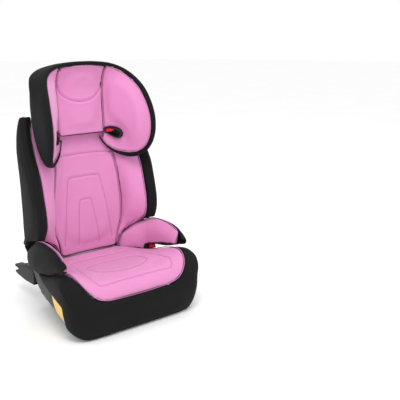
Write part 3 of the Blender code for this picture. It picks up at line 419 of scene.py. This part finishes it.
def eased(points, rounds, closed):
    """A line with its corners eased by moving averages."""
    for _ in range(rounds):
        if closed:
            points = (np.roll(points, 1, 0) + 2 * points + np.roll(points, -1, 0)) / 4
        else:
            points = points.copy()
            points[1:-1] = (points[:-2] + 2 * points[1:-1] + points[2:]) / 4
    return points


def tube(bm, points, radius, closed, sides=8, slot=0):
    """Add a round cord along a line to a bmesh."""
    count = len(points)
    if closed:
        ahead = np.roll(points, -1, 0) - np.roll(points, 1, 0)
    else:
        ahead = np.gradient(points, axis=0)
    side = Vector((0.0, 0.0, 1.0)) if abs(ahead[0][2]) < 0.7 * np.linalg.norm(ahead[0]) else Vector((0.0, 1.0, 0.0))
    rings = []
    for point, direction in zip(points, ahead):
        forward = Vector(direction).normalized()
        side = (side - forward * side.dot(forward)).normalized()
        up = forward.cross(side)
        ring = []
        for k in range(sides):
            angle = 2 * math.pi * k / sides
            ring.append(bm.verts.new(Vector(point) + (side * math.cos(angle) + up * math.sin(angle)) * radius))
        rings.append(ring)
    for i in range(count if closed else count - 1):
        here, there = rings[i], rings[(i + 1) % count]
        turn = 0
        if closed and i == count - 1:
            turn = min(range(sides), key=lambda t: sum((here[k].co - there[(k + t) % sides].co).length
                                                       for k in range(sides)))
        for k in range(sides):
            face = bm.faces.new((here[k], here[(k + 1) % sides], there[(k + 1 + turn) % sides], there[(k + turn) % sides]))
            face.smooth = True
            face.material_index = slot
    if not closed:
        for ring, order in ((rings[0], -1), (rings[-1], 1)):
            bm.faces.new(ring[::order]).material_index = slot


def piece_from(name, bm, materials, body):
    """A finished hand-built piece that rides on a body."""
    mesh = bpy.data.meshes.new(name)
    for material in materials:
        mesh.materials.append(material)
    bmesh.ops.recalc_face_normals(bm, faces=bm.faces)
    bm.to_mesh(mesh)
    bm.free()
    piece = show(name, mesh, materials[0])
    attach(piece, body)
    return piece


def evened(mesh, values, rounds):
    """Values at a mesh's points, averaged with their neighbours again and again."""
    ends = np.empty(len(mesh.edges) * 2, np.int32)
    mesh.edges.foreach_get("vertices", ends)
    a, b = ends[::2], ends[1::2]
    count = len(values)
    share = np.maximum(np.bincount(a, minlength=count) + np.bincount(b, minlength=count), 1)
    for _ in range(rounds):
        around = np.bincount(a, values[b], count) + np.bincount(b, values[a], count)
        values = (values + around / share) / 2
    return values


def near(points, line):
    """Distance of every point from a line given by close-set points."""
    found = KDTree(len(line))
    for i, p in enumerate(line):
        found.insert(p, i)
    found.balance()
    return np.array([found.find(p)[2] for p in points])


# --- lines sewn or pressed into the pads -------------------------------------------------
def mirrored(points):
    return [(-x, y, z) for x, y, z in points]


def arc_line(half, top, drop, y):
    """A hanging half-ellipse across the headrest panel."""
    return [(half * math.sin(t), y, top - drop * math.cos(t)) for t in np.linspace(-math.pi / 2, math.pi / 2, 25)]


BACK_LEG = [(0.053, 0.094, 0.384), (0.068, 0.083, 0.300), (0.083, 0.067, 0.185)]
BACK_INNER_LEG = [(0.020, 0.092, 0.315), (0.029, 0.080, 0.250), (0.037, 0.068, 0.176)]
SEAT_CONTOUR = [(0.0, -0.036, 0.143), (-0.050, -0.038, 0.143), (-0.084, -0.052, 0.143), (-0.092, -0.085, 0.143),
                (-0.084, -0.118, 0.143), (-0.050, -0.136, 0.143), (0.0, -0.142, 0.143)]
SEAT_OUTER = [(-0.112, -0.045, 0.143), (-0.126, -0.100, 0.143), (-0.136, -0.160, 0.143), (-0.122, -0.190, 0.140),
              (-0.080, -0.186, 0.143), (-0.040, -0.182, 0.143), (0.0, -0.181, 0.143)]
SEWN = {
    "back_centre_pad": (
        ([*BACK_LEG[::-1], *mirrored(BACK_LEG)], 0.0022, 0.0034),
        ([*BACK_INNER_LEG[::-1], *mirrored(BACK_INNER_LEG)], 0.0018, 0.0034),
        ([(-0.098, 0.08, 0.450), (0.0, 0.10, 0.452), (0.098, 0.08, 0.450)], 0.0024, 0.0034),
    ),
    "head_centre_pad": ((arc_line(0.072, 0.655, 0.047, 0.084), 0.0022, 0.0034),),
    "seat_pad": (
        ([(-0.100, 0.006, 0.143), (-0.050, 0.013, 0.143), (0.0, 0.015, 0.143), (0.050, 0.013, 0.143),
          (0.100, 0.006, 0.143)], 0.0018, 0.0045),
        ([*SEAT_CONTOUR, *mirrored(SEAT_CONTOUR)[-2:0:-1]], 0.0020, 0.0045),
        ([*SEAT_OUTER, *mirrored(SEAT_OUTER)[-2::-1]], 0.0022, 0.0050),
    ),
}
CLOSED_LINES = {("seat_pad", 1)}
UP, FORWARD = Vector((0, 0, 1)), Vector((0, -1, 0))


def on_surface(tree, points, closed, facing):
    """A sewn line laid on the side of a pad that looks along facing, with its points set close."""
    laid = []
    for p in eased(resampled(points, 0.004, closed), 4, closed):
        hit = tree.ray_cast(Vector(p) + facing * 0.1, -facing, 0.2)[0]
        if hit is not None:
            laid.append(hit[:])
    return np.array(laid)


# --- soft pieces -------------------------------------------------------------------------
class SoftPiece:
    """A pad or cover made from a CAD node: swollen, creased, and given its border and stitches."""

    def __init__(self, node, name, crown, cap, fill, voxel=VOXEL, relax_rounds=5):
        self.node, self.name, self.crown, self.cap, self.fill = node, name, crown, cap, fill
        self.voxel = voxel
        self.body, self.slot = BODY_OF[node], SLOT_OF[node]
        self.others = tree_of({node})
        bm = welded(node)
        sharp = WING_SHARP if node.startswith("back_wing_pad") else SHARP
        self.loops, _ = border_loops(bm, self.others)
        bmesh.ops.join_triangles(bm, faces=bm.faces, angle_face_threshold=0.5, angle_shape_threshold=1.2)
        crease = bm.edges.layers.float.new("crease_edge")
        corner = bm.verts.layers.float.new("crease_vert")
        for edge in bm.edges:
            if len(edge.link_faces) == 2 and edge.calc_face_angle(0.0) > sharp:
                edge[crease] = 1.0
        for vert in bm.verts:
            border = [(e.other_vert(vert).co - vert.co).normalized() for e in vert.link_edges if e[crease] > 0.5]
            if len(border) > 2 or (len(border) == 2 and border[0].dot(border[1]) > CORNER):
                vert[corner] = 1.0
        mesh = bpy.data.meshes.new(name)
        bm.to_mesh(mesh)
        bm.free()
        self.piece = show(name, mesh, MATERIALS[self.slot])
        smooth = self.piece.modifiers.new("rounded", "SUBSURF")
        smooth.levels = smooth.render_levels = 2
        remesh = self.piece.modifiers.new("even", "REMESH")
        remesh.mode = "VOXEL"
        remesh.voxel_size = voxel
        relax = self.piece.modifiers.new("relax", "SMOOTH")
        relax.factor = 0.5
        relax.iterations = relax_rounds
        applied(self.piece)
        self.rest = coordinates(self.piece.data)
        self.out = normals(self.piece.data)
        self.room = self.measure_room()
        rings = [eased(resampled(ring, 0.005, True), 2, True) for ring in self.loops]
        self.border = rings
        away = near(self.rest, np.vstack(rings)) if rings else np.full(len(self.rest), 1.0)
        rise = np.clip(away / EDGE_ROUND, 0, 1)
        self.rise = np.sin(rise * math.pi / 2)

    def measure_room(self):
        """How far each point may move outwards: less than half the way to its neighbours."""
        room = np.empty(len(self.rest))
        for i, (p, n) in enumerate(zip(self.rest, self.out)):
            hit = self.others.ray_cast(Vector(p), Vector(n), CLEARANCE_REACH)
            room[i] = CLEARANCE_REACH if hit[0] is None else hit[3]
        return np.clip((room - 0.004) * 0.45, 0.0, None)

    def add_cloth(self):
        """Set the piece up to swell under pressure without gravity."""
        cloth = self.piece.modifiers.new("swell", "CLOTH")
        cloth.settings.quality = 4
        cloth.settings.mass = 0.25
        cloth.settings.tension_stiffness = 18
        cloth.settings.compression_stiffness = 12
        cloth.settings.bending_stiffness = 0.8
        cloth.settings.use_pressure = True
        cloth.settings.uniform_pressure_force = SIM_PRESSURE
        cloth.settings.effector_weights.gravity = 0.0
        cloth.collision_settings.use_collision = False
        cloth.point_cache.frame_start = 1
        cloth.point_cache.frame_end = SIM_FRAMES

    def shape(self, swollen):
        """Crown the pad, add what the simulation gives, press the lines in, and refine."""
        lift = self.crown * self.rise
        if swollen is not None:
            moved = ((swollen - self.rest) * self.out).sum(axis=1)
            moved = evened(self.piece.data, moved - np.median(moved), SWELL_EVENING)
            lift = lift + np.clip(moved, -self.cap * 0.35, self.cap) * self.rise
        lift = evened(self.piece.data, np.minimum(lift, self.room), 12)
        lift = np.minimum(lift, self.room)
        points = self.rest + self.out * lift[:, None]
        move_points(self.piece.data, points)
        if self.voxel > FINE_VOXEL:
            finer = self.piece.modifiers.new("finer", "SUBSURF")
            finer.levels = finer.render_levels = 1
            applied(self.piece)
        mesh = self.piece.data
        for face in mesh.polygons:
            face.use_smooth = True
        self.lines = []
        points, out = coordinates(mesh), normals(mesh)
        tree = BVHTree.FromObject(self.piece, bpy.context.evaluated_depsgraph_get())
        drop = np.zeros(len(points))
        for index, (line, depth, width) in enumerate(SEWN.get(self.node, ())):
            closed = (self.node, index) in CLOSED_LINES
            line = on_surface(tree, line, closed, UP if self.node == "seat_pad" else FORWARD)
            self.lines.append((line, closed))
            away = near(points, line)
            drop += depth * np.exp(-(away / width) ** 2) - 0.28 * depth * np.exp(-((away - 2.6 * width) / width) ** 2)
        move_points(mesh, points - out * drop[:, None])

    def finish(self):
        """Material, body, and what the piece stands for."""
        self.piece.data.materials.clear()
        self.piece.data.materials.append(MATERIALS[self.slot])
        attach(self.piece, self.body)
        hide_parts(self.node)


PAIRS = (("armrest_pad", "armrest_cushion", 0.0022, 0.005, 0.7),
         ("armrest_cover", "armrest_jacket", 0.0012, 0.002, 0.4, FINE_VOXEL),
         ("back_wing_pad", "back_side_cushion", 0.003, 0.005, 0.6, VOXEL, 16),
         ("back_cover", "back_jacket", 0.0015, 0.0025, 0.4, FINE_VOXEL),
         ("head_wing_pad", "head_side_cushion", 0.003, 0.005, 0.7))
SINGLES = (("seat_pad", "seat_cushion", 0.0025, 0.005, 0.6),
           ("base_skirt", "base_jacket", 0.0015, 0.0025, 0.3, FINE_VOXEL),
           ("back_centre_pad", "back_cushion", 0.0035, 0.005, 0.6),
           ("head_centre_pad", "head_cushion", 0.0025, 0.005, 0.7),
           ("head_cover", "head_jacket", 0.0015, 0.002, 0.4, FINE_VOXEL))


def make_soft_pieces():
    """Every soft piece, swollen together in one short simulation."""
    made = [SoftPiece(*row) for row in SINGLES]
    for node, name, *rest in PAIRS:
        made += [SoftPiece(f"{node}_{side}", f"{name}_{side}", *rest) for side, _ in SIDES]
    swollen = [None] * len(made)
    for soft in made:
        soft.add_cloth()
    for step in range(1, SIM_FRAMES + 1):
        bpy.context.scene.frame_set(step)
    graph = bpy.context.evaluated_depsgraph_get()
    for i, soft in enumerate(made):
        settled = soft.piece.evaluated_get(graph).to_mesh()
        swollen[i] = coordinates(settled)
        soft.piece.evaluated_get(graph).to_mesh_clear()
    for soft in made:
        soft.piece.modifiers.clear()
    bpy.context.scene.frame_set(1)
    for soft, shape in zip(made, swollen):
        soft.shape(shape)
        soft.finish()
    return made


SOFT = make_soft_pieces()


# --- piping and stitching ----------------------------------------------------------------
PIPING_RADIUS = 0.0011
STITCH_LENGTH = 0.0032
STITCH_GAP = 0.0016
STITCH_RADIUS = 0.00050
SEAM_RADIUS = 0.0008
PINK_NODES = {node for node, slot in SLOT_OF.items() if slot == "pink_fabric"}
PINK_TREES = {node: tree_of(set(NODES) - PINK_NODES | {node}) for node in PINK_NODES}
BLACK_TREE = tree_of({node for node, slot in SLOT_OF.items() if slot != "black_fabric"})


def add_piping(soft):
    """A thin corded seam along the pad's border: bright beside black, darker pink where pads meet as painted shade of
    the seam between them, and black when free, partly a dark edge and partly painted shade of the gap under the pad.
    """
    bm = bmesh.new()
    side_pad = soft.node.startswith("back_wing_pad")
    beside = 0.0105 if soft.node.startswith("armrest_pad") else 0.007
    for ring in soft.border:
        tube(bm, eased(ring, 2, True), PIPING_RADIUS, True)
    for face in bm.faces:
        middle = face.calc_center_median()
        if BLACK_TREE.find_nearest(middle, beside)[0] is not None:
            face.material_index = 0
        # darker pink cord where pink pads meet: painted shade of the seam between them
        elif side_pad or PINK_TREES[soft.node].find_nearest(middle, 0.0045)[0] is not None:
            face.material_index = 1
        # black cord on free borders: partly a dark edge, partly painted shade of the gap under the pad
        else:
            face.material_index = 2
    piece_from(f"{soft.name}_piping", bm, (BRIGHT_PIPING, PINK_SEAM_SHADE_PIPING, BLACK_AND_SHADE_PIPING), soft.body)


def groove_shade_cord(bm, line, tree, closed):
    """Add the thin darker cord laid in a pressed line, as painted shade of its groove."""
    line = resampled(line, 0.003, closed)
    laid = np.array([tree.find_nearest(Vector(p))[0][:] for p in line])
    tube(bm, eased(laid, 1, closed), SEAM_RADIUS, closed, 6, 1)


def stitches(bm, line, tree, lift, closed):
    """Add dashes of thread that follow a line on a pad's surface."""
    line = resampled(line, 0.0016, closed)
    step = 3
    for i in range(0, len(line) - step, step):
        dash = [tree.find_nearest(Vector(p)) for p in line[i:i + step]]
        points = np.array([(d[0] + d[1] * (lift if k == 1 else 0.0))[:] for k, d in enumerate(dash)])
        tube(bm, points, STITCH_RADIUS, False, 5)


def add_stitching(soft, thread_material):
    """Topstitching along the pressed lines."""
    tree = BVHTree.FromObject(soft.piece, bpy.context.evaluated_depsgraph_get())
    bm = bmesh.new()
    for line, closed in soft.lines:
        stitches(bm, line, tree, 0.0006, closed)
        # the darker cord in each groove is painted shade
        groove_shade_cord(bm, line, tree, closed)
    if bm.verts:
        piece_from(f"{soft.name}_stitching", bm, (thread_material, PINK_SEAM_SHADE_PIPING), soft.body)
    else:
        bm.free()


for _soft in SOFT:
    if _soft.slot == "pink_fabric":
        add_piping(_soft)
        add_stitching(_soft, PINK_STITCH)


# --- small hard details that the CAD leaves out, and dark slot linings that are painted shade ---
def add_guide_bracket(name, side):
    """The dark bracket that holds a lap belt guide under its armrest."""
    low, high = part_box(f"lap_belt_guide_{name}")
    rear, floor, roof = high.y + 0.0005, low.z - 0.001, high.z
    outline = [(rear, floor), (rear, roof - 0.005), (rear - 0.004, roof + 0.0006), (rear + 0.004, roof + 0.002),
               (rear + 0.009, roof - 0.002), (rear + 0.009, floor)]
    inner, outer = (low.x, high.x) if side > 0 else (high.x, low.x)
    bm = bmesh.new()
    rings = [[bm.verts.new((x, y, z)) for y, z in outline] for x in (inner - side * 0.013, outer + side * 0.018)]
    count = len(outline)
    for k in range(count):
        bm.faces.new((rings[0][k], rings[0][(k + 1) % count], rings[1][(k + 1) % count], rings[1][k]))
    bm.faces.new(rings[0])
    bm.faces.new(rings[1][::-1])
    bmesh.ops.bevel(bm, geom=bm.edges[:], offset=0.0009, segments=2, affect="EDGES")
    piece_from(f"belt_guide_bracket_{name}", bm, (MATERIALS["dark_plastic"],), "base")


def prism(name, rings, body):
    """A moulded part lofted through closed rings of points, with its long edges eased."""
    bm = bmesh.new()
    rows = [[bm.verts.new(p) for p in ring] for ring in rings]
    count = len(rows[0])
    for here, there in zip(rows, rows[1:]):
        for k in range(count):
            bm.faces.new((here[k], here[(k + 1) % count], there[(k + 1) % count], there[k]))
    bm.faces.new(rows[0])
    bm.faces.new(rows[-1][::-1])
    ends = [e for e in bm.edges if e.calc_face_angle(0.0) > 0.9]
    bmesh.ops.bevel(bm, geom=ends, offset=0.0005, segments=2, affect="EDGES")
    piece_from(name, bm, (MATERIALS["dark_plastic"],), body)


# shoulder belt slot: the inner end of its wing in plan, the wing's direction in plan, and the
# outline as distance along the wing and height
SLOT_ROOT = Vector((0.073, 0.079))
SLOT_ALONG = Vector((0.571, -0.821))
SLOT_OUTLINE = ((0.004, 0.5115), (0.005, 0.5215), (0.014, 0.5243), (0.038, 0.5234), (0.0514, 0.5165),
                (0.0562, 0.508), (0.0515, 0.4977), (0.044, 0.4938), (0.0305, 0.4968), (0.0155, 0.5048))


def slot_point(side, s, z, deep):
    """A point given along the wing, in height and behind the wing's face."""
    x, y = SLOT_ROOT + SLOT_ALONG * s + Vector((-SLOT_ALONG.y, SLOT_ALONG.x)) * deep
    return (side * x, y, z)


# section of the slot's frame and of its dark lining, which is painted shade inside the slot: depth behind the wing's
# face and distance inside the outline
FRAME_AND_SHADE_LINING_SECTION = ((0.0008, 0.0), (0.026, 0.0), (0.026, 0.0008), (0.0018, 0.0008), (0.0018, 0.0034), (0.0008, 0.0034))


def add_slot_frame_and_shade_lining(name, side):
    """The dark moulded frame of a shoulder belt slot, with a dark lining 26 mm deep and a dark plate behind it that
    closes most of the slot: the lining and the plate are painted shade inside the slot.
    """
    centre = np.mean(SLOT_OUTLINE, axis=0)
    bm = bmesh.new()
    rings = []
    for deep, inset in FRAME_AND_SHADE_LINING_SECTION:
        ring = []
        for s, z in SLOT_OUTLINE:
            away = Vector((s - centre[0], z - centre[1]))
            s, z = Vector((s, z)) - away.normalized() * inset
            ring.append(bm.verts.new(slot_point(side, s, z, deep)))
        rings.append(ring)
    for here, there in zip(rings, rings[1:] + rings[:1]):
        for k in range(len(here)):
            nxt = (k + 1) % len(here)
            bm.faces.new((here[k], here[nxt], there[nxt], there[k]))
    piece_from(f"belt_slot_frame_{name}", bm, (MATERIALS["dark_plastic"],), "headrest")
    # dark plate behind the slot's mouth: painted shade inside the slot
    plate = ((0.018, 0.496), (0.018, 0.5235), (0.038, 0.5230), (0.051, 0.5165), (0.0555, 0.508), (0.051, 0.498),
             (0.040, 0.4945))
    prism(f"belt_slot_plate_{name}", [[slot_point(side, s, z, deep) for s, z in plate] for deep in (0.022, 0.024)],
          "headrest")


def add_side_guard(name, side):
    """The plate below the shell that closes the space beside the back cushion's foot."""
    rings = []
    for y in (0.0975, 0.0995):
        outline = ((0.074, 0.142), (0.098, 0.136), (0.150, 0.138), (0.183, 0.165), (0.1945, 0.198),
                   (0.192, 0.222), (0.150, 0.226), (0.098, 0.222), (0.074, 0.175))
        rings.append([(side * x, y + 0.13 * (z - 0.15) * 0.3, z) for x, z in outline])
    prism(f"backrest_side_guard_{name}", rings, "backrest")
    outline = ((0.146, 0.2110), (0.180, 0.2105), (0.2055, 0.2125), (0.2065, 0.221), (0.199, 0.234), (0.146, 0.234))
    rings = [[(side * x, y, z) for x, z in outline] for y in (0.068, 0.071)]
    prism(f"backrest_side_gusset_{name}", rings, "backrest")


def add_head_trim():
    """The strip behind the seam between the headrest's cushion and its cover."""
    rings = []
    for x, low, high in ((-0.079, 0.697, 0.7085), (-0.05, 0.702, 0.7135), (0.0, 0.704, 0.7155),
                         (0.05, 0.702, 0.7135), (0.079, 0.697, 0.7085)):
        rings.append([(x, 0.0655, low), (x, 0.0655, high), (x, 0.0667, high), (x, 0.0667, low)])
    prism("headrest_seam_trim", rings, "headrest")


for _side, _sign in SIDES:
    add_guide_bracket(_side, _sign)
    add_slot_frame_and_shade_lining(_side, _sign)
    add_side_guard(_side, _sign)
add_head_trim()


# --- hard parts keep their CAD shape, with finished materials ----------------------------
for _name, _object in NODES.items():
    for _slot in _object.material_slots:
        _slot.material = MATERIALS[SLOT_OF[_name]]


# --- floor, light and camera --------------------------------------------------------------
def make_floor():
    """A large pale disc just under the seat."""
    bm = bmesh.new()
    bmesh.ops.create_circle(bm, cap_ends=True, segments=96, radius=14.0)
    mesh = bpy.data.meshes.new("floor")
    bm.to_mesh(mesh)
    bm.free()
    net = Net("pale_floor")
    tone = net.ramp(net.noise(3.0, 2.0), 0.3, 0.7)
    base = net.mix(tone, (0.96, 0.96, 0.96), (0.98, 0.98, 0.98))
    floor = show("floor", mesh, net.finish(Base_Color=base, Roughness=0.9, Specular_IOR_Level=0.1))
    floor.location.z = CAD_BOX[0][2] - 0.0006


def add_light(name, place, target, size, power):
    """A square soft box pointed at a place."""
    lamp = bpy.data.lights.new(name, "AREA")
    lamp.size = size
    lamp.energy = power
    light = bpy.data.objects.new(name, lamp)
    bpy.context.scene.collection.objects.link(light)
    light.location = place
    light.rotation_euler = (Vector(target) - Vector(place)).to_track_quat("-Z", "Y").to_euler()


def make_studio():
    world = bpy.data.worlds.new("studio")
    world.use_nodes = True
    background = world.node_tree.nodes["Background"]
    background.inputs["Color"].default_value = (1.0, 1.0, 1.0, 1.0)
    background.inputs["Strength"].default_value = 1.0
    bpy.context.scene.world = world
    middle = (0.0, 0.0, 0.35)
    add_light("key", (-0.75, -1.15, 2.7), middle, 1.2, 34.0)
    add_light("rim", (1.4, 1.3, 1.6), middle, 1.0, 4.0)


def make_camera():
    a, e = CAMERA_AZIMUTH, CAMERA_ELEVATION
    right = Vector((math.cos(a), math.sin(a), 0.0))
    up = Vector((-math.sin(a) * math.sin(e), math.cos(a) * math.sin(e), math.cos(e)))
    back = right.cross(up)
    data = bpy.data.cameras.new("camera")
    data.lens = CAMERA_LENS
    data.sensor_width = 36.0
    camera = bpy.data.objects.new("camera", data)
    bpy.context.scene.collection.objects.link(camera)
    place = Vector((0.0, 0.0, CAMERA_HEIGHT)) + right * CAMERA_SIDE + back * CAMERA_DISTANCE
    camera.matrix_world = Matrix.Translation(place) @ Matrix((right, up, back)).transposed().to_4x4()
    bpy.context.scene.camera = camera


make_floor()
make_studio()
make_camera()
bpy.context.scene.view_settings.view_transform = "Standard"
